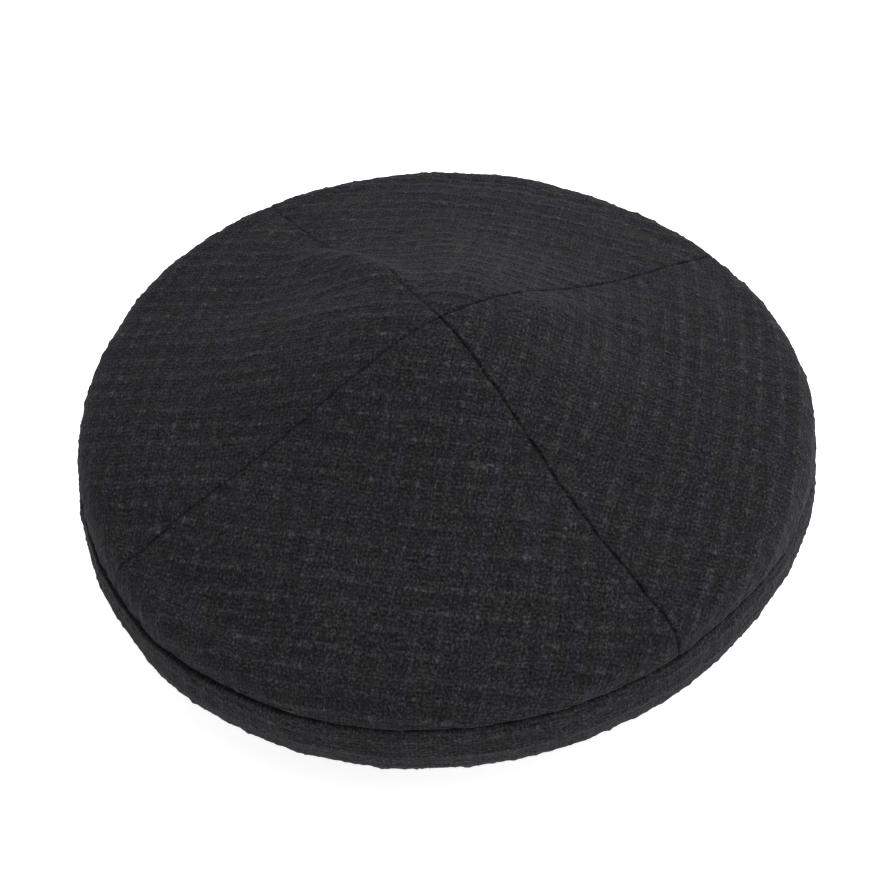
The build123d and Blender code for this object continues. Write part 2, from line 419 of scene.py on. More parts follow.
def surface(outline, length, bearing, depth):
    """Points of a layer at a depth under an outline, softness included, as an array of x, y, z."""
    radius, height, normal_r, normal_z = outline.at(length)
    out, lift = outline.soft(radius, bearing, STARTS[outline] + length)
    inward = depth - out
    r = radius + inward * normal_r
    z = height + inward * normal_z + lift
    if outline in (HEADBAND, RIBBON, TAPE):
        r = r + head_shift(bearing)
    shift_x, shift_y = sideways(radius, bearing) if outline is CROWN else (0, 0)
    return vectors(r * np.cos(bearing) + shift_x, r * np.sin(bearing) + shift_y, z)


# ==== the bolt of cloth
def soft_noise(draws, width):
    """Periodic noise of the bolt's size, blurred to a width in metres, with a spread of 1."""
    grid = draws.standard_normal((BOLT_SIZE, BOLT_SIZE))
    turns = np.fft.fftfreq(BOLT_SIZE, BOLT_STEP)
    squared = turns[:, None] ** 2 + turns[None, :] ** 2
    keep = np.exp(-2 * (math.pi * width) ** 2 * squared / 4)
    blurred = np.real(np.fft.ifft2(np.fft.fft2(grid) * keep))
    return blurred / blurred.std()


def add_nub(field, u, v, across, along, height):
    """One soft lump of yarn in a periodic field, at u, v in metres."""
    reach = int(3 * max(across, along) / BOLT_STEP) + 1
    column, row = int(round(u / BOLT_STEP)), int(round(v / BOLT_STEP))
    steps = np.arange(-reach, reach + 1)
    du = (column + steps) * BOLT_STEP - u
    dv = (row + steps) * BOLT_STEP - v
    lump = height * np.exp(-((du[None, :] / along) ** 2) - (dv[:, None] / across) ** 2)
    rows = (row + steps) % BOLT_SIZE
    columns = (column + steps) % BOLT_SIZE
    field[np.ix_(rows, columns)] += lump


def nubby_yarns(draws, pitch, strength):
    """Thicker yarns along u, one each pitch, as (relief, nubs): a low ridge that carries uneven nubs."""
    size = BOLT_SIZE * BOLT_STEP
    count = round(size / pitch)
    relief = np.zeros((BOLT_SIZE, BOLT_SIZE))
    nubs = np.zeros((BOLT_SIZE, BOLT_SIZE))
    u = v = np.arange(BOLT_SIZE) * BOLT_STEP
    for i in range(count):
        middle = (i + draws.uniform(-0.13, 0.13)) * size / count
        wander = 0.35 * MM * np.sin(FULL_TURN * draws.integers(2, 6) * u / size + draws.uniform(0, 6))
        gap = (v[:, None] - middle - wander[None, :] + size / 2) % size - size / 2
        swell = 0.65 + 0.35 * np.sin(FULL_TURN * draws.integers(5, 14) * u / size + draws.uniform(0, 6))
        relief += 0.30 * MM * strength * swell[None, :] * np.exp(-((gap / (1.2 * MM)) ** 2))
        at = draws.uniform(0, 4 * MM)
        while at < size:
            height = draws.gamma(2.6, 0.4)
            shift = np.interp(at, u, wander)
            off = draws.normal(0, 0.35 * MM)
            add_nub(nubs, at, middle + shift + off, draws.uniform(0.65, 1.05) * MM,
                    draws.uniform(0.5, 0.85) * MM, strength * height)
            at += draws.uniform(1.6, 5.5) * MM
    return relief, nubs


def weave_bolt():
    """Relief, in metres, and nubs, from 0 to about 1, of a square of tweed that repeats."""
    draws = np.random.default_rng(BOLT_SEED)
    weft_relief, weft_nubs = nubby_yarns(draws, ROW_PITCH, 1.0)
    warp_relief, warp_nubs = nubby_yarns(draws, ROW_PITCH * 1.02, 0.55)
    nubs = weft_nubs + warp_nubs.T
    for _ in range(SMALL_NUBS):
        u, v = draws.uniform(0, BOLT_SIZE * BOLT_STEP, 2)
        across, along = draws.uniform(0.4, 0.7) * MM, draws.uniform(0.4, 0.8) * MM
        add_nub(nubs, u, v, across, along, draws.uniform(0.1, 0.5))
    lumps = 0.07 * MM * soft_noise(draws, 2.6 * MM) + 0.07 * MM * soft_noise(draws, 1.1 * MM)
    relief = weft_relief + warp_relief.T + lumps + 0.24 * MM * np.minimum(nubs, 1.8)
    return relief - relief.mean(), np.clip(nubs, 0, 1.6)


BOLT_RELIEF, BOLT_NUBS = weave_bolt()
PUCKERS = wave_terms(21, (1, 2, 3, 4, 5, 6, 7, 8, 9))
LINING_WAVES = wave_terms(31, (4, 7, 11, 17, 25))


def cut_from_bolt(field, u, v):
    """The bolt's value at each u, v, smoothly between its samples."""
    x = u / BOLT_STEP
    y = v / BOLT_STEP
    column = np.floor(x).astype(int)
    row = np.floor(y).astype(int)
    fx = x - column
    fy = y - row
    c0, c1 = column % BOLT_SIZE, (column + 1) % BOLT_SIZE
    r0, r1 = row % BOLT_SIZE, (row + 1) % BOLT_SIZE
    low = field[r0, c0] * (1 - fx) + field[r0, c1] * fx
    high = field[r1, c0] * (1 - fx) + field[r1, c1] * fx
    return low * (1 - fy) + high * fy


# ==== meshes
def grid_faces(first, rows, columns, flip):
    """Four-sided faces of a grid of points that starts at an index."""
    corner = (np.arange(rows)[:, None] * (columns + 1) + np.arange(columns)[None, :]).ravel() + first
    faces = np.stack([corner, corner + columns + 1, corner + columns + 2, corner + 1], axis=1)
    return (faces[:, ::-1] if flip else faces).tolist()


def border(rows, columns, first):
    """The four edges of a grid, in order round it, as lists of point indices."""
    def index(row, column):
        return first + row * (columns + 1) + column
    return [
        [index(0, c) for c in range(columns + 1)],
        [index(r, columns) for r in range(rows + 1)],
        [index(rows, c) for c in range(columns, -1, -1)],
        [index(r, 0) for r in range(rows, -1, -1)],
    ]


def shell_faces(rows, columns, step):
    """Faces of a closed shell: a fine outer grid, an inner grid of every step-th point, and its edges."""
    inner_first = (rows + 1) * (columns + 1)
    inner_rows, inner_columns = rows // step, columns // step
    faces = grid_faces(0, rows, columns, flip=False)
    faces += grid_faces(inner_first, inner_rows, inner_columns, flip=True)
    edges = zip(border(rows, columns, 0), border(inner_rows, inner_columns, inner_first))
    for fine, coarse in edges:
        for k in range(len(coarse) - 1):
            faces.append([*fine[k * step : (k + 1) * step + 1], coarse[k + 1], coarse[k]])
    return faces


def link(name, data):
    """A new object in the scene."""
    made = bpy.data.objects.new(name, data)
    bpy.context.scene.collection.objects.link(made)
    return made


def add_object(name, points, faces):
    """A mesh object in the scene, smooth but for the cut edges of its cloth."""
    mesh = bpy.data.meshes.new(name)
    mesh.from_pydata(points.tolist(), [], faces)
    mesh.validate()
    mesh.shade_smooth()
    mesh.set_sharp_from_angle(angle=SHARP_ANGLE)
    return link(name, mesh)


def both_grids(outer, inner, step):
    """A shell's points or their values: its whole outer grid, then every step-th of its inner grid."""
    coarse = inner[::step, ::step]
    return np.concatenate([grid.reshape(-1, *outer.shape[2:]) for grid in (outer, coarse)])


def shell(name, outer, inner, step, **values):
    """A closed shell between two grids of points, with values at them that its material reads."""
    rows, columns = outer.shape[0] - 1, outer.shape[1] - 1
    made = add_object(name, both_grids(outer, inner, step), shell_faces(rows, columns, step))
    for key, value in values.items():
        kind, field = ("FLOAT_VECTOR", "vector") if value.ndim == 3 else ("FLOAT", "value")
        attribute = made.data.attributes.new(key, kind, "POINT")
        attribute.data.foreach_set(field, both_grids(value, value, step).astype(np.float32).ravel())
    return made


def eased(count, edge_share):
    """Steps from -1 to 1 that are closer together towards both ends."""
    t = np.linspace(-1, 1, count + 1)
    return edge_share * t + (1 - edge_share) * (1.5 * t - 0.5 * t**3)


# ==== pieces cut from cloth
class Cut:
    """A piece of cloth on an outline: rows along the outline's length and columns round the hat."""

    def __init__(self, outline, middle, sweep, rows, columns, gap, first=0.0):
        self.outline = outline
        steps = eased(rows, 0.45)
        self.length = (first + (outline.total - first) * (steps + 1) / 2)[:, None]
        radius = outline.at(self.length)[0]
        half = sweep / 2 - np.arcsin(np.clip(gap / 2 / radius, 0, math.sin(QUARTER / 2)))
        share = eased(columns, 0.4)[None, :]
        self.middle = middle
        self.bearing = middle + share * half
        self.radius = radius
        side = radius * np.sin(np.minimum(half * (1 - np.abs(share)), QUARTER))
        self.side_gap = side
        self.end_gap = outline.total - self.length
        self.start_gap = self.length

    def points(self, depth):
        return surface(self.outline, self.length, self.bearing, depth)

    def fuzz(self):
        """Places of the cloth's loose fibres: flat on the crown and under it, unrolled on the bands."""
        if self.outline is CROWN:
            return self.length * np.cos(self.bearing), self.length * np.sin(self.bearing)
        if self.outline is UNDER:
            return self.radius * np.cos(self.bearing), self.radius * np.sin(self.bearing)
        return RIM_RADIUS * self.bearing, self.length


def unevenness(along):
    """How strongly a seam pulls the cloth in, about 1, at a place along it."""
    fine = 0.3 * np.sin(along / (1.3 * MM)) * np.sin(along / (4.1 * MM))
    return 1 + fine + 0.15 * np.sin(along / (2.3 * MM))


def crispness(bearing):
    """How sharp the seams are at a bearing, from 0.4 where they are pressed flat to 1."""
    return 0.7 + 0.3 * np.cos(bearing - SEAM_SHARP_BEARING)


def rim_fill(cut, distance):
    """How far the rim's valley is pushed out by the seam allowances behind it."""
    return RIM_FILL * (1.3 - crispness(cut.bearing)) * np.exp(-((distance / RIM_FILL_REACH) ** 2))


def seam_profile(distance, along):
    """Depth of the cloth beside a seam, where it dives in."""
    return SEAM_DEPTH * unevenness(along) * np.exp(-((distance / SEAM_WIDTH) ** 2))


def painted_seam_shade(distance, along):
    """Painted shade: how much darker the cloth is painted inside a seam's valley, on the scale of the nubs.
    """
    return PAINTED_SEAM_SHADE * unevenness(along) ** 2 * np.exp(-((distance / PAINTED_SEAM_SHADE_WIDTH) ** 2))


def puckers(distance, along, seed):
    """Small ripples across a seam, which die out away from it."""
    total = 0
    for order, phase, _ in PUCKERS:
        total = total + np.cos(along * order / (9 * MM) + phase + 1.7 * seed * order) / 3
    return PUCKER_HEIGHT * total * np.exp(-distance / PUCKER_REACH) * smoothstep(distance / (1.6 * MM))


def finish_piece(piece, slot, body, node):
    """Gives a piece its material in a slot and the body that it rides on, and hides the CAD part that it
    stands for.
    """
    piece.data.materials.append(MATERIALS[slot])
    if body:
        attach(piece, body)
    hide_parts(node)
    return piece


def tweed_shell(node, body, cut, outer, weave_uv, nubs):
    """A closed shell of tweed that carries its place on the bolt, its nubs with their painted light and
    shade, and the run of its fibres.
    """
    name = f"{node}.cloth"
    across, along = cut.fuzz()
    fuzz = vectors(across + FUZZ_SHIFT * len(name), along * FUZZ_DRAW, 0.0)
    inner = cut.points(TWEED_THICKNESS)
    piece = shell(name, outer, inner, TWEED_STEP, weave=vectors(*weave_uv, 0.0), nub=nubs, fuzz=fuzz)
    return finish_piece(piece, "tweed", body, node)


def tweed_piece(node, body, cut, weave_uv, gaps, rim_gap=None):
    """A piece of tweed with its seams turned in.

    gaps is (distance to a seam, place along it) for each seam; rim_gap is the distance to the rim seam.
    """
    u, v = np.broadcast_arrays(*weave_uv)
    depth = np.zeros_like(u)
    shade = np.zeros_like(u)
    ripples = np.zeros_like(u)
    nearest = np.full_like(u, np.inf)
    for seed, (distance, along) in enumerate(gaps):
        depth = np.maximum(depth, seam_profile(distance, along))
        # painted shade: the cloth is painted darker inside each seam's valley
        shade = np.maximum(shade, painted_seam_shade(distance, along))
        ripples = ripples + puckers(distance, along, seed)
        nearest = np.minimum(nearest, distance)
    crisp = crispness(cut.bearing)
    depth = depth * crisp
    if rim_gap is not None:
        depth = depth - rim_fill(cut, rim_gap)
    relief = cut_from_bolt(BOLT_RELIEF, u, v)
    # besides the pale nubs, this value carries painted light on raised relief, painted shade in its hollows,
    # and painted shade in the seams' valleys, which is stronger where the seams are crisp
    nubs = cut_from_bolt(BOLT_NUBS, u, v) + relief / PROUD_YARN - shade * crisp
    relief = relief * (0.3 + 0.7 * smoothstep(nearest / (1.4 * MM)))
    outer = cut.points(np.minimum(depth - ripples - relief, TWEED_THICKNESS - 0.15 * MM))
    return tweed_shell(node, body, cut, outer, (u, v), nubs)


def plain_piece(node, body, cut, depths, slot, extra=0):
    """A thin layer with no weave relief, which may lie a little deeper in places."""
    outer, inner = [cut.points(depth + extra) for depth in depths]
    weave = vectors(1.0 + cut.radius * (cut.bearing - cut.middle), 1.0 + cut.length, 0.0)
    return finish_piece(shell(f"{node}.cloth", outer, inner, 1, weave=weave), slot, body, node)


def ring_cut(outline, rows, columns, gap):
    """A strip of cloth that goes all the way round and is joined at the back."""
    return Cut(outline, BACK + HALF_TURN, FULL_TURN, rows, columns, gap)


def blend_under(piece):
    """Bakes the transform of a layer of the under ring into its mesh."""
    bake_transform(piece)


def crown_uv(cut, offset):
    """Where a crown panel lies on the bolt. The left panel is cut across the grain of the others."""
    angle = (cut.bearing - cut.middle) * CONE_SHARE
    if cut.middle == HALF_TURN:
        angle = angle + QUARTER
    return offset[0] + cut.length * np.sin(angle), offset[1] + cut.length * np.cos(angle)


def crown_panels():
    """The four quarter panels of the crown."""
    for i, (side, degrees) in enumerate(PANEL_BEARINGS.items()):
        cut = Cut(CROWN, math.radians(degrees), QUARTER, 280, 280, SEAM_GAP, first=0.45 * MM)
        uv = crown_uv(cut, (0.35 + 0.231 * i, 0.1 + 0.177 * i))
        side_gap = cut.side_gap + 0.25 * MM * (1 - smoothstep(cut.length / (4 * MM)))
        gaps = [(side_gap, cut.length), (cut.end_gap, cut.bearing * RIM_RADIUS)]
        piece = tweed_piece(f"crown_panel_{side}", "crown", cut, uv, gaps, cut.end_gap)


def lining_slack(cut):
    """How much deeper than its true place the loose lining hangs, least at its seams."""
    ease = smoothstep(np.minimum(cut.side_gap, cut.end_gap) / (14 * MM))
    ripple = 0.5 + 0.17 * waves(LINING_WAVES, cut.bearing, cut.length)
    seam = 0.25 * MM * np.exp(-((cut.side_gap / (1.2 * MM)) ** 2))
    return LINING_SLACK * np.clip(ripple, 0, 1) * ease - 0.6 * seam


def crown_layers():
    """Interfacing and lining behind each crown panel."""
    for side, degrees in PANEL_BEARINGS.items():
        middle = math.radians(degrees)
        cut = Cut(CROWN, middle, QUARTER, 48, 48, 0.9 * MM, first=0.9 * MM)
        piece = plain_piece(f"crown_interfacing_{side}", "crown", cut, INTERFACING, "interfacing")
        cut = Cut(CROWN, middle, QUARTER, 96, 96, 0.12 * MM, first=0.3 * MM)
        piece = plain_piece(f"crown_lining_{side}", "crown", cut, LINING, "lining", lining_slack(cut))


def side_band():
    """The strip of tweed under the rim seam."""
    cut = ring_cut(SIDE, 56, 1480, SEAM_GAP)
    along = cut.bearing * RIM_RADIUS
    gaps = [(cut.start_gap, along), (cut.end_gap, along), (cut.side_gap, cut.length)]
    uv = (1.0 + along, 0.5 + cut.length)
    piece = tweed_piece("side_band", "crown", cut, uv, gaps, cut.start_gap)


def side_layers():
    """Interfacing and lining behind the side band."""
    cut = ring_cut(SIDE, 10, 240, 0.9 * MM)
    piece = plain_piece("side_band_interfacing", "crown", cut, INTERFACING, "interfacing")
    piece = plain_piece("side_lining", "crown", ring_cut(SIDE, 24, 480, 0.12 * MM), LINING, "lining")


def under_ring():
    """The two halves of the ring of tweed under the brim."""
    for i, (side, degrees) in enumerate(HALF_BEARINGS.items()):
        cut = Cut(UNDER, math.radians(degrees), HALF_TURN, 72, 640, SEAM_GAP)
        uv = (0.6 + 0.3 * i + cut.radius * np.cos(cut.bearing), 1.3 + cut.radius * np.sin(cut.bearing))
        along = cut.bearing * RIM_RADIUS
        side_gap = cut.side_gap + 0.5 * MM * (1 - smoothstep(cut.end_gap / (5 * MM)))
        gaps = [(cut.start_gap, along), (side_gap, cut.length), (cut.end_gap + HEAD_SEAM_OFFSET, along)]
        piece = tweed_piece(f"under_ring_{side}", None, cut, uv, gaps)
        blend_under(piece)


def under_lining():
    """The lining of the under ring, in two halves."""
    for side, degrees in HALF_BEARINGS.items():
        cut = Cut(UNDER, math.radians(degrees), HALF_TURN, 32, 320, 0.12 * MM)
        slack = UNDER_LINING_SLACK * (0.5 + 0.17 * waves(LINING_WAVES, cut.bearing, cut.length))
        piece = plain_piece(f"under_lining_{side}", None, cut, UNDER_LINING, "lining", slack)
        blend_under(piece)


def headband():
    """The strip of tweed folded round the head opening."""
    cut = ring_cut(HEADBAND, 96, 880, SEAM_GAP)
    along = cut.bearing * BAND_OUTER
    u, v = np.broadcast_arrays(0.2 + along, 0.7 + cut.length)
    distance = np.minimum(cut.start_gap + HEAD_SEAM_OFFSET, cut.side_gap)
    hidden = smoothstep((cut.length - HEADBAND.total * 0.56) / (4 * MM))
    relief = cut_from_bolt(BOLT_RELIEF, u, v) * smoothstep(distance / (1.8 * MM)) * (1 - hidden)
    foot = smoothstep(np.abs(cut.length - HEADBAND.total / 2) / (3 * MM))
    depth = 0.7 * seam_profile(distance, along) * (1 - hidden) - np.minimum(relief, 0.25 * MM) * foot
    # besides the pale nubs, this value carries painted light on raised relief and painted shade in the
    # seam's valley
    nubs = cut_from_bolt(BOLT_NUBS, u, v) + relief / PROUD_YARN - painted_seam_shade(distance, along)
    piece = tweed_shell("headband", "headband", cut, cut.points(depth), (u, v), nubs)


def interlining():
    """The stiff tape inside the headband."""
    cut = ring_cut(TAPE, 8, 240, 0.6 * MM)
    piece = plain_piece("headband_interlining", "headband", cut, (0.0, 0.5 * MM), "interlining")


def sweatband():
    """The ribbed ribbon next to the head, with a rounded, slightly toothed edge."""
    ribs = round(FULL_TURN * HEAD_RADIUS / RIB_PITCH)
    rows, columns = 16, ribs * 4
    share = (eased(rows, 0.3) + 1) / 2
    length = (RIBBON.total * share)[:, None]
    bearing = BACK + FULL_TURN * np.linspace(0, 1, columns + 1)[None, :]
    rib = np.abs(np.sin(math.pi * ribs * (bearing - BACK) / FULL_TURN))
    edge = np.minimum(length, RIBBON.total - length)
    roll = 0.3 * MM * np.exp(-edge / (0.35 * MM))
    outer = surface(RIBBON, length, bearing, RIB_DEPTH * (1 - rib) + roll)
    inner = surface(RIBBON, length, bearing, RIBBON_THICKNESS - 0.5 * roll)
    weave = vectors(HEAD_RADIUS * bearing, 1 + length, 0.0)
    piece = shell("sweatband.ribbon", outer, inner, 4, weave=weave)
    finish_piece(piece, "ribbon", "headband", "sweatband")


# ==== threads
RING_POINTS = 721


def tube_mesh(lines, radius, sides=6):
    """Points and faces of round tubes along lines of points, with closed ends."""
    points, faces = [], []
    for line in lines:
        line = np.asarray(line, float)
        ahead = np.gradient(line, axis=0)
        ahead /= np.linalg.norm(ahead, axis=1)[:, None]
        up = np.array([0, 0, 1.0])
        side = np.cross(ahead, up)
        side /= np.maximum(np.linalg.norm(side, axis=1), 1e-9)[:, None]
        over = np.cross(side, ahead)
        first = len(points)
        for k in range(sides):
            turn = FULL_TURN * k / sides
            points_k = line + radius * (math.cos(turn) * side + math.sin(turn) * over)
            points.extend(points_k.tolist())
        count = len(line)
        for k in range(sides):
            here, there = first + k * count, first + (k + 1) % sides * count
            faces += [[here + i, here + i + 1, there + i + 1, there + i] for i in range(count - 1)]
        faces.append([first + k * count for k in range(sides)])
        faces.append([first + k * count + count - 1 for k in reversed(range(sides))])
    return np.array(points), faces


def thread_piece(node, body, lines, radius=THREAD_RADIUS, slot="thread"):
    piece = add_object(f"{node}.sewn", *tube_mesh(lines, radius))
    return finish_piece(piece, slot, body, node)


def seam_line(outline, bearing, depth, first, count):
    """A line down an outline on one bearing, at the bottom of a seam's valley."""
    length = np.linspace(first, outline.total, count)
    return surface(outline, length, np.full(count, bearing), depth)


def ring_line(outline, length, depth):
    """A line round the hat at a length down an outline."""
    bearing = np.linspace(0, FULL_TURN, RING_POINTS)
    return surface(outline, np.full(RING_POINTS, length), bearing, depth)


def seam_threads():
    """The threads that lie at the bottom of the seams."""
    depth = SEAM_DEPTH + 0.38 * MM
    quarter = QUARTER / 2
    long_seam = np.concatenate([
        seam_line(CROWN, quarter, depth, 0.0, 160)[::-1],
        seam_line(CROWN, quarter + HALF_TURN, depth, 0.0, 160)[1:],
    ])
    short = [seam_line(CROWN, quarter + k * HALF_TURN + QUARTER, depth, 0.6 * MM, 160) for k in (0, 1)]
    thread_piece("crown_seam_thread", "crown", [long_seam, *short])
    for node, above, below in (("rim_seam_thread", CROWN, SIDE), ("lower_seam_thread", SIDE, UNDER)):
        ring = (ring_line(above, above.total, depth) + ring_line(below, 0.0, depth)) / 2
        thread_piece(node, "crown", [ring])
    thread_piece("side_band_join_thread", "crown", [seam_line(SIDE, BACK, depth, 0.5 * MM, 24)])
    joins = [seam_line(UNDER, bearing, depth, 0.5 * MM, 40) for bearing in (BACK, -BACK)]
    blend_under(thread_piece("under_ring_seam_thread", None, joins))
    bearing = np.linspace(0, FULL_TURN, RING_POINTS)
    radius = HEAD_SEAM_RADIUS + head_shift(bearing)
    ring = vectors(radius * np.cos(bearing), radius * np.sin(bearing), HEAD_SEAM_Z)
    thread_piece("headband_seam_thread", "headband", [ring])


def stitch(start, end, out, radius):
    """The line of one stitch: it comes up out of the cloth, lies along it and goes back in."""
    share = np.linspace(0, 1, 7)[:, None]
    rise = np.sin(math.pi * share) ** 0.5
    return start + (end - start) * share + out * (rise * 1.3 - 0.9) * radius


def sweatband_stitches():
    """The row of stitches that holds the ribbon's top edge."""
    pitch, length, radius = 3.2 * MM, 2.3 * MM, 0.17 * MM
    count = round(FULL_TURN * HEAD_RADIUS / pitch)
    height = RIBBON.total - 1.3 * MM
    lines = []
    for k in range(count):
        start = FULL_TURN * k / count
        ends = np.array([start, start + length / HEAD_RADIUS])
        a, b = surface(RIBBON, np.full(2, height), ends, 0.03 * MM)
        out = -np.array([math.cos(start), math.sin(start), 0.0])
        lines.append(stitch(a, b, out, radius))
    thread_piece("sweatband_seam_thread", "headband", lines, radius)


# ==== labels
def crown_length_at(radius):
    """The length down the crown's outline at a radius, on its part above the shoulder."""
    inside = CROWN.radius < SHOULDER_RADIUS
    return np.interp(radius, CROWN.radius[inside], CROWN.length[inside])


def lining_depth(radius, bearing):
    """How deep the crown lining's inner face lies near the apex."""
    return LINING[1] + 0.75 * MM * smoothstep(radius / (14 * MM)) + 0 * bearing


def under_apex(x, y, depth):
    """Points below the crown lining, over the floor point x, y."""
    radius = np.hypot(x, y)
    bearing = np.arctan2(y, x)
    return surface(CROWN, crown_length_at(radius), bearing, lining_depth(radius, bearing) + depth)


def maker_label():
    """A blank woven label, its short ends folded under, sewn flat to the crown lining."""
    low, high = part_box("maker_label")
    rows, columns = 60, 104
    x = np.linspace(low.x, high.x, columns + 1)[None, :] + np.zeros((rows + 1, 1))
    y = np.linspace(low.y, high.y, rows + 1)[:, None] + np.zeros((1, columns + 1))
    end = np.minimum(x - low.x, high.x - x)
    side = np.minimum(y - low.y, high.y - y)
    folded = 0.16 * MM * (1 - smoothstep((end - 3.6 * MM) / (0.5 * MM)))
    sunk = 0.12 * MM * np.exp(-(((np.minimum(end, side) - 1.5 * MM) / (0.7 * MM)) ** 2))
    edge = 0.14 * MM * np.exp(-np.minimum(end, side) / (0.25 * MM))
    back = under_apex(x, y, LABEL_GAP)
    face = under_apex(x, y, LABEL_GAP + LABEL_THICKNESS - 0.15 * MM + folded - sunk - edge)
    weave = vectors(1 + x, 1 + y, 0.0)
    piece = shell("maker_label.woven", face[::-1], back[::-1], 4, weave=weave[::-1])
    finish_piece(piece, "maker_label", "crown", "maker_label")


def label_stitches():
    """Running stitches round the maker's label, set in from its edge."""
    low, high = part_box("maker_label")
    inset, pitch, length, radius = 1.5 * MM, 3.1 * MM, 2.1 * MM, 0.16 * MM
    x0, x1, y0, y1 = low.x + inset, high.x - inset, low.y + inset, high.y - inset
    corners = [(x0, y0), (x1, y0), (x1, y1), (x0, y1)]
    lines = []
    for k in range(4):
        a = np.array(corners[k])
        b = np.array(corners[(k + 1) % 4])
        run = np.linalg.norm(b - a)
        count = round(run / pitch)
        ahead = (b - a) / run
        for i in range(count):
            start = a + ahead * (i * run / count + 0.4 * MM)
            ends = np.stack([start, start + ahead * length])
            depth = LABEL_GAP + LABEL_THICKNESS - 0.1 * MM
            p, q = under_apex(ends[:, 0], ends[:, 1], depth)
            lines.append(stitch(p, q, np.array([0, 0, -1.0]), radius))
    thread_piece("maker_label_stitching", "crown", lines, radius, "label_thread")


def care_label():
    """A folded satin tape, both its ends caught in the headband seam, curling up a little at its loop."""
    low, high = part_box("care_label")
    joint = next(j for j in frame["joints"] if j["name"] == "care_label_flip")
    root = Vector(joint["pos_m"])
    rise = math.atan2(high.z - low.z, high.y - low.y)
    length = (high.y - low.y) / math.cos(rise) - 0.6 * MM
    tape, gap = 0.16 * MM, 0.1 * MM
    bend = gap / 2 + tape / 2
    straight = 40
    share = np.linspace(0, 1, straight)
    turn = np.linspace(-math.pi / 2, math.pi / 2, 13)[1:-1]
    along = np.concatenate([share * length, length + bend * np.cos(turn), share[::-1] * length])
    above = np.concatenate([-bend + 0 * share, bend * np.sin(turn), bend + 0 * share])
    curl = 1.1 * MM * (along / length) ** 2.2
    open_up = 0.35 * MM * np.sin(math.pi * np.clip(along / length, 0, 1)) * (above > 0)
    centre = np.stack([along, above + curl + open_up], axis=-1)
    ahead = np.gradient(centre, axis=0)
    ahead /= np.linalg.norm(ahead, axis=1)[:, None]
    outward = np.stack([ahead[:, 1], -ahead[:, 0]], axis=-1)
    half = (high.x - low.x) / 2
    across = eased(48, 0.6)[None, :] * (high.x - low.x) / 2
    edge = 1 - 0.4 * np.exp(-(half - np.abs(across)) / (0.3 * MM))
    cup = 0.25 * MM * (1 - (across / half) ** 2)

    def side_points(sign):
        flat = centre[:, None, :] + sign * outward[:, None, :] * tape / 2 * edge[..., None]
        y = flat[..., 0] * math.cos(rise) - (flat[..., 1] - cup) * math.sin(rise)
        z = flat[..., 0] * math.sin(rise) + (flat[..., 1] - cup) * math.cos(rise)
        return vectors(across, root.y + y, root.z + 0.25 * MM + z)

    weave = vectors(1 + across, (1 + along + 0.1 * (above > 0))[:, None], 0.0)
    spare = (len(along) - 1) % 2
    outer, inner, weave = [points[spare:] for points in (side_points(1), side_points(-1), weave)]
    piece = shell("care_label.woven", outer, inner, 2, weave=weave)
    finish_piece(piece, "care_label", "care_label", "care_label")


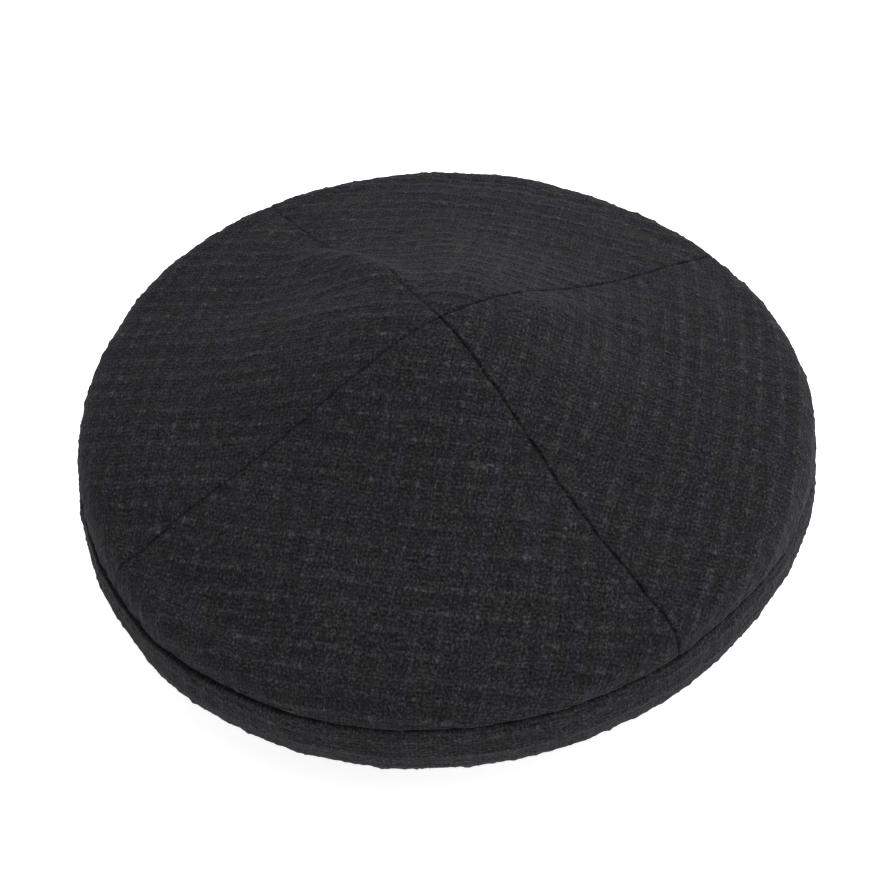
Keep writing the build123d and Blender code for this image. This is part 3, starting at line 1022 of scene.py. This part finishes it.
# ==== materials
class Shader:
    """A material's node tree, with short ways to add nodes and join them."""

    def __init__(self, name):
        self.material = bpy.data.materials.new(name)
        self.material.use_nodes = True
        self.tree = self.material.node_tree
        self.surface = self.tree.nodes["Principled BSDF"]

    def add(self, kind, inputs=None, **settings):
        node = self.tree.nodes.new(kind)
        for key, value in settings.items():
            setattr(node, key, value)
        for key, value in (inputs or {}).items():
            self.put(node.inputs[key], value)
        return node

    def put(self, socket, value):
        if isinstance(value, bpy.types.NodeSocket):
            self.tree.links.new(value, socket)
        else:
            socket.default_value = value

    def math(self, operation, a, b=0.0, c=0.0):
        node = self.add("ShaderNodeMath", operation=operation)
        for socket, value in zip(node.inputs, (a, b, c)):
            self.put(socket, value)
        return node.outputs[0]

    def vector(self, operation, a, b):
        node = self.add("ShaderNodeVectorMath", operation=operation)
        self.put(node.inputs[0], a)
        if operation == "SCALE":
            self.put(node.inputs["Scale"], b)
        else:
            self.put(node.inputs[1], b)
        return node.outputs[0]

    def attribute(self, name, output):
        return self.add("ShaderNodeAttribute", attribute_name=name).outputs[output]

    def noise(self, vector, scale, detail=2.0, roughness=0.5, output="Fac"):
        inputs = {"Vector": vector, "Scale": scale, "Detail": detail, "Roughness": roughness}
        return self.add("ShaderNodeTexNoise", inputs).outputs[output]

    def mix(self, share, a, b, blend_type="MIX"):
        node = self.add("ShaderNodeMix", data_type="RGBA", blend_type=blend_type)
        for index, value in ((0, share), (6, a), (7, b)):
            self.put(node.inputs[index], value)
        return node.outputs[2]

    def weighted(self, *terms, base=0.0):
        """A base plus the sum of values, each times its weight."""
        total = base
        for value, weight in terms:
            total = self.math("MULTIPLY_ADD", value, weight, total)
        return total

    def wave(self, part, pitch):
        return self.math("SINE", self.math("MULTIPLY", part, FULL_TURN / pitch))

    def parts(self, vector):
        return self.add("ShaderNodeSeparateXYZ", {"Vector": vector}).outputs

    def cloth(self):
        """The place on the cloth, in metres, as a vector and as its parts."""
        place = self.attribute("weave", "Vector")
        return place, self.parts(place)

    def ramp(self, value, stops):
        node = self.add("ShaderNodeValToRGB", {"Fac": value})
        while len(node.color_ramp.elements) < len(stops):
            node.color_ramp.elements.new(0.5)
        for element, (position, colour) in zip(node.color_ramp.elements, stops):
            element.position = position
            element.color = (*colour, 1)
        return node.outputs[0]

    def bump(self, height, distance, strength=1.0, normal=None):
        node = self.add("ShaderNodeBump", {"Height": height, "Distance": distance, "Strength": strength})
        if normal is not None:
            self.put(node.inputs["Normal"], normal)
        return node.outputs[0]

    def finish(self, colour, normal, roughness, sheen=0.0, sheen_roughness=0.5, tint=(1, 1, 1),
               specular=0.3):
        values = {
            "Base Color": colour, "Normal": normal, "Roughness": roughness, "Sheen Weight": sheen,
            "Sheen Roughness": sheen_roughness, "Sheen Tint": (*tint, 1), "Specular IOR Level": specular,
        }
        for key, value in values.items():
            self.put(self.surface.inputs[key], value)
        return self.material


WARP_NUMBERS = 517.0         # keeps the warp yarns' numbers apart from the weft's


def plain_weave(shader, coordinates):
    """Height of a plain weave over one-unit yarns, and the number of the yarn that lies on top."""
    across, along = shader.parts(coordinates)[:2]
    numbers = [shader.math("FLOOR", part) for part in (across, along)]
    rounds = []
    for part, number in zip((across, along), numbers):
        off_middle = shader.math("SUBTRACT", shader.math("SUBTRACT", part, number), 0.5)
        rounds.append(shader.math("COSINE", shader.math("MULTIPLY", off_middle, math.pi)))
    over = shader.math("FLOORED_MODULO", shader.math("ADD", *numbers), 2.0)
    under = shader.math("SUBTRACT", 1.0, over)
    yarns = []
    for own, other, lifted in ((*rounds, over), (*rounds[::-1], under)):
        lift = shader.math("MULTIPLY_ADD", shader.math("MULTIPLY", lifted, other), 0.6, 0.4)
        yarns.append(shader.math("MULTIPLY", shader.math("POWER", own, 0.6), lift))
    on_top = shader.math("GREATER_THAN", *yarns)
    warp_number = shader.math("MULTIPLY", on_top, shader.math("ADD", numbers[0], WARP_NUMBERS))
    weft_number = shader.math("MULTIPLY", shader.math("SUBTRACT", 1.0, on_top), numbers[1])
    return shader.math("MAXIMUM", *yarns), shader.math("ADD", warp_number, weft_number)


def tweed_material():
    """Black wool tweed: a nubby plain weave with paler slubs, hairy enough to catch light at its edges."""
    shader = Shader("tweed")
    cloth = shader.attribute("weave", "Vector")
    # the pale nubs, together with painted light on raised relief and painted shade in its hollows and in the
    # seams
    nub = shader.attribute("nub", "Fac")
    yarns = shader.vector("SCALE", cloth, 1 / YARN)
    drawn = shader.vector("SCALE", shader.attribute("fuzz", "Vector"), 1 / YARN)
    drift = shader.vector("SUBTRACT", shader.noise(yarns, 0.42, 3.0, 0.6, "Color"), (0.5, 0.5, 0.5))
    loose = shader.vector("ADD", yarns, shader.vector("SCALE", drift, 1.5))
    height, number = plain_weave(shader, loose)
    fibre = shader.noise(drawn, 2.1, 4.0, 0.75)
    lump = shader.noise(drawn, 1.15, 3.0, 0.62)
    patch = shader.noise(drawn, 0.35, 2.0, 0.6)
    yarn_tone = shader.add("ShaderNodeTexWhiteNoise", {"W": number}, noise_dimensions="1D").outputs["Value"]
    # the weave's height lightens the raised yarns and darkens the hollows between them: painted shade
    tone = shader.weighted(
        (height, 0.16), (yarn_tone, 0.08), (fibre, 1.85), (lump, 0.45), (patch, 0.18), (nub, 0.09),
    )
    colour = shader.ramp(shader.math("SUBTRACT", tone, 0.88), [
        (0.16, (0.0008, 0.0008, 0.0010)),
        (0.50, (0.0115, 0.0115, 0.0120)),
        (0.74, (0.0325, 0.0323, 0.0333)),
        (0.95, (0.0700, 0.0695, 0.0705)),
    ])
    hue = shader.noise(drawn, 0.17, 3.0, 0.65)
    share = shader.ramp(hue, [(0.42, (0, 0, 0)), (0.60, (1, 1, 1))])
    tinted = shader.mix(share, (1.0, 1.01, 0.99, 1), (0.99, 0.95, 1.17, 1))
    dyed = shader.mix(1.0, colour, tinted, "MULTIPLY")
    normal = shader.bump(shader.weighted((height, 0.45), (fibre, 0.6), (lump, 0.9)), 0.6 * MM, 0.8)
    rough = shader.weighted((fibre, 0.15), base=0.82)
    return shader.finish(dyed, normal, rough, 0.03, 0.4, (0.84, 0.84, 1.0), 0.10)


def lining_material():
    """Black lining: fine twill with a soft sheen and slight creases."""
    shader = Shader("lining")
    cloth, parts = shader.cloth()
    twill = shader.wave(shader.math("ADD", parts[0], parts[1]), 0.55 * MM)
    crease = shader.noise(cloth, 70.0, 3.0, 0.55)
    thread = shader.noise(cloth, 2600.0, 2.0, 0.5)
    tone = shader.weighted((thread, 0.9), (twill, 0.06))
    colour = shader.ramp(tone, [(0.2, (0.012, 0.012, 0.014)), (0.75, (0.034, 0.034, 0.039))])
    normal = shader.bump(shader.weighted((twill, 0.35), (crease, 6.0)), 0.08 * MM, 0.8)
    rough = shader.weighted((thread, 0.2), base=0.36)
    return shader.finish(colour, normal, rough, 0.15, 0.4, (0.85, 0.87, 0.95), 0.45)


def ribbon_material():
    """Black grosgrain: matt ribs across the ribbon, each bound by fine warp threads."""
    shader = Shader("ribbon")
    cloth, parts = shader.cloth()
    warp = shader.wave(parts[1], 0.4 * MM)
    thread = shader.noise(cloth, 1800.0, 3.0, 0.6)
    tone = shader.weighted((warp, 0.12), base=thread)
    colour = shader.ramp(tone, [(0.3, (0.010, 0.010, 0.011)), (0.7, (0.030, 0.030, 0.033))])
    normal = shader.bump(shader.weighted((warp, 0.5), base=thread), 0.09 * MM, 0.8)
    return shader.finish(colour, normal, 0.62, 0.2, 0.5, (0.9, 0.9, 0.95), 0.35)


def felted_material(name, dark, light):
    """A matt non-woven or stiff tape with short random fibres."""
    shader = Shader(name)
    cloth = shader.attribute("weave", "Vector")
    fibre = shader.noise(cloth, 1500.0, 5.0, 0.7)
    blotch = shader.noise(cloth, 180.0, 2.0, 0.5)
    tone = shader.weighted((fibre, 0.6), (blotch, 0.4))
    colour = shader.ramp(tone, [(0.35, dark), (0.65, light)])
    normal = shader.bump(fibre, 0.12 * MM, 0.7)
    return shader.finish(colour, normal, 0.9, 0.1, 0.5, (1, 1, 1), 0.2)


def satin_material(name, dark, light, border):
    """A blank woven label: close satin with a plain border woven a little darker."""
    shader = Shader(name)
    cloth, parts = shader.cloth()
    warp = shader.wave(parts[0], 0.3 * MM)
    weft = shader.wave(parts[1], 0.42 * MM)
    thread = shader.noise(cloth, 2200.0, 3.0, 0.6)
    tone = shader.weighted((warp, 0.10), (weft, 0.07), base=thread)
    colour = shader.ramp(tone, [(0.3, dark), (0.7, light)])
    wide = shader.math("ABSOLUTE", shader.math("SUBTRACT", parts[0], 1.0))
    edge = shader.math("GREATER_THAN", wide, border)
    darker = shader.mix(shader.math("MULTIPLY", edge, 0.35), colour, (*dark, 1))
    normal = shader.bump(shader.weighted((weft, 0.3), (warp, 0.4), base=thread), 0.06 * MM, 0.8)
    return shader.finish(darker, normal, 0.42, 0.2, 0.4, (1, 1, 1), 0.4)


def thread_material(name, dark, light):
    """Spun sewing thread with a fine twist."""
    shader = Shader(name)
    place = shader.add("ShaderNodeTexCoord").outputs["Object"]
    twist = shader.noise(place, 2600.0, 2.0, 0.6)
    colour = shader.ramp(twist, [(0.3, dark), (0.7, light)])
    normal = shader.bump(twist, 0.08 * MM, 0.8)
    return shader.finish(colour, normal, 0.8, 0.02, 0.5, (1, 1, 1), 0.12)


MATERIALS = {
    "tweed": tweed_material(),
    "lining": lining_material(),
    "ribbon": ribbon_material(),
    "interfacing": felted_material("interfacing", (0.02, 0.02, 0.022), (0.06, 0.06, 0.066)),
    "interlining": felted_material("interlining", (0.36, 0.34, 0.30), (0.62, 0.60, 0.55)),
    "maker_label": satin_material("maker_label", (0.05, 0.05, 0.056), (0.13, 0.13, 0.14), 0.0195),
    "care_label": satin_material("care_label", (0.62, 0.61, 0.58), (0.84, 0.83, 0.80), 1.0),
    "thread": thread_material("thread", (0.003, 0.003, 0.004), (0.010, 0.010, 0.011)),
    "label_thread": thread_material("label_thread", (0.10, 0.10, 0.11), (0.22, 0.22, 0.24)),
}

# ==== studio
CAMERA_AZIMUTH = 14.9        # degrees, as is the next
CAMERA_ELEVATION = 46.6
CAMERA_DISTANCE = 3.85 * RIM_RADIUS
CAMERA_LENS = 56.4
CAMERA_SENSOR = 36.0
CAMERA_ROLL = math.radians(-4.5)
CAMERA_SHIFT = (0.0013, -0.0367)
FLOOR_GLOW = 0.75            # the floor is lit from below, like a product photographer's table
FLOOR_SIZE = 6.0
SURROUND_GLOW = 0.54
LIGHT_DISTANCE = 1.6
# name, azimuth, elevation, size, power
LIGHTS = [
    ("top_light", 120, 76, 1.2, 14),
    ("back_light", 150, 42, 1.2, 13.6),
    ("right_light", 85, 34, 0.9, 4),
]


def facing_hat(azimuth, elevation, distance):
    """A place seen from the middle of the rim seam's circle, and the turn that looks back from it."""
    a, e = math.radians(azimuth), math.radians(elevation)
    back = Vector((math.sin(a) * math.cos(e), -math.cos(a) * math.cos(e), math.sin(e)))
    return Vector((0, 0, RIM_HEIGHT)) + back * distance, (-back).to_track_quat("-Z", "Y")


def camera():
    data = bpy.data.cameras.new("camera")
    data.lens = CAMERA_LENS
    data.sensor_width = CAMERA_SENSOR
    data.shift_x, data.shift_y = CAMERA_SHIFT
    made = link("camera", data)
    made.location, turn = facing_hat(CAMERA_AZIMUTH, CAMERA_ELEVATION, CAMERA_DISTANCE)
    made.rotation_euler = (turn.to_matrix() @ Matrix.Rotation(CAMERA_ROLL, 3, "Z")).to_euler()
    bpy.context.scene.camera = made


def floor():
    """A plain pale floor, much larger than the hat."""
    corners = [(x * FLOOR_SIZE, y * FLOOR_SIZE, 0) for x, y in ((-1, -1), (1, -1), (1, 1), (-1, 1))]
    made = add_object("floor", np.array(corners, float), [[0, 1, 2, 3]])
    shader = Shader("floor")
    place = shader.add("ShaderNodeTexCoord").outputs["Object"]
    grain = shader.noise(place, 900.0, 2.0, 0.5)
    colour = shader.ramp(grain, [(0.3, (0.86, 0.86, 0.865)), (0.7, (0.88, 0.88, 0.885))])
    shader.surface.inputs["Emission Color"].default_value = (1, 1, 1, 1)
    shader.surface.inputs["Emission Strength"].default_value = FLOOR_GLOW
    made.data.materials.append(shader.finish(colour, shader.bump(grain, 0.02 * MM, 0.2), 0.8))


def area_light(name, azimuth, elevation, size, power):
    """A square soft light that faces the hat."""
    data = bpy.data.lights.new(name, "AREA")
    data.size = size
    data.energy = power
    made = link(name, data)
    made.location, turn = facing_hat(azimuth, elevation, LIGHT_DISTANCE)
    made.rotation_euler = turn.to_euler()


def studio():
    """Large soft lights above, behind and at the right, in an even white surround."""
    world = bpy.data.worlds.new("studio")
    world.use_nodes = True
    background = world.node_tree.nodes["Background"]
    background.inputs["Color"].default_value = (1.0, 1.0, 1.0, 1)
    background.inputs["Strength"].default_value = SURROUND_GLOW
    bpy.context.scene.world = world
    for light in LIGHTS:
        area_light(*light)
    scene = bpy.context.scene
    scene.view_settings.view_transform = "Standard"
    scene.view_settings.look = "None"


# ==== the beret
camera()
crown_panels()
crown_layers()
side_band()
side_layers()
under_ring()
under_lining()
headband()
interlining()
sweatband()
seam_threads()
sweatband_stitches()
maker_label()
label_stitches()
care_label()
floor()
studio()
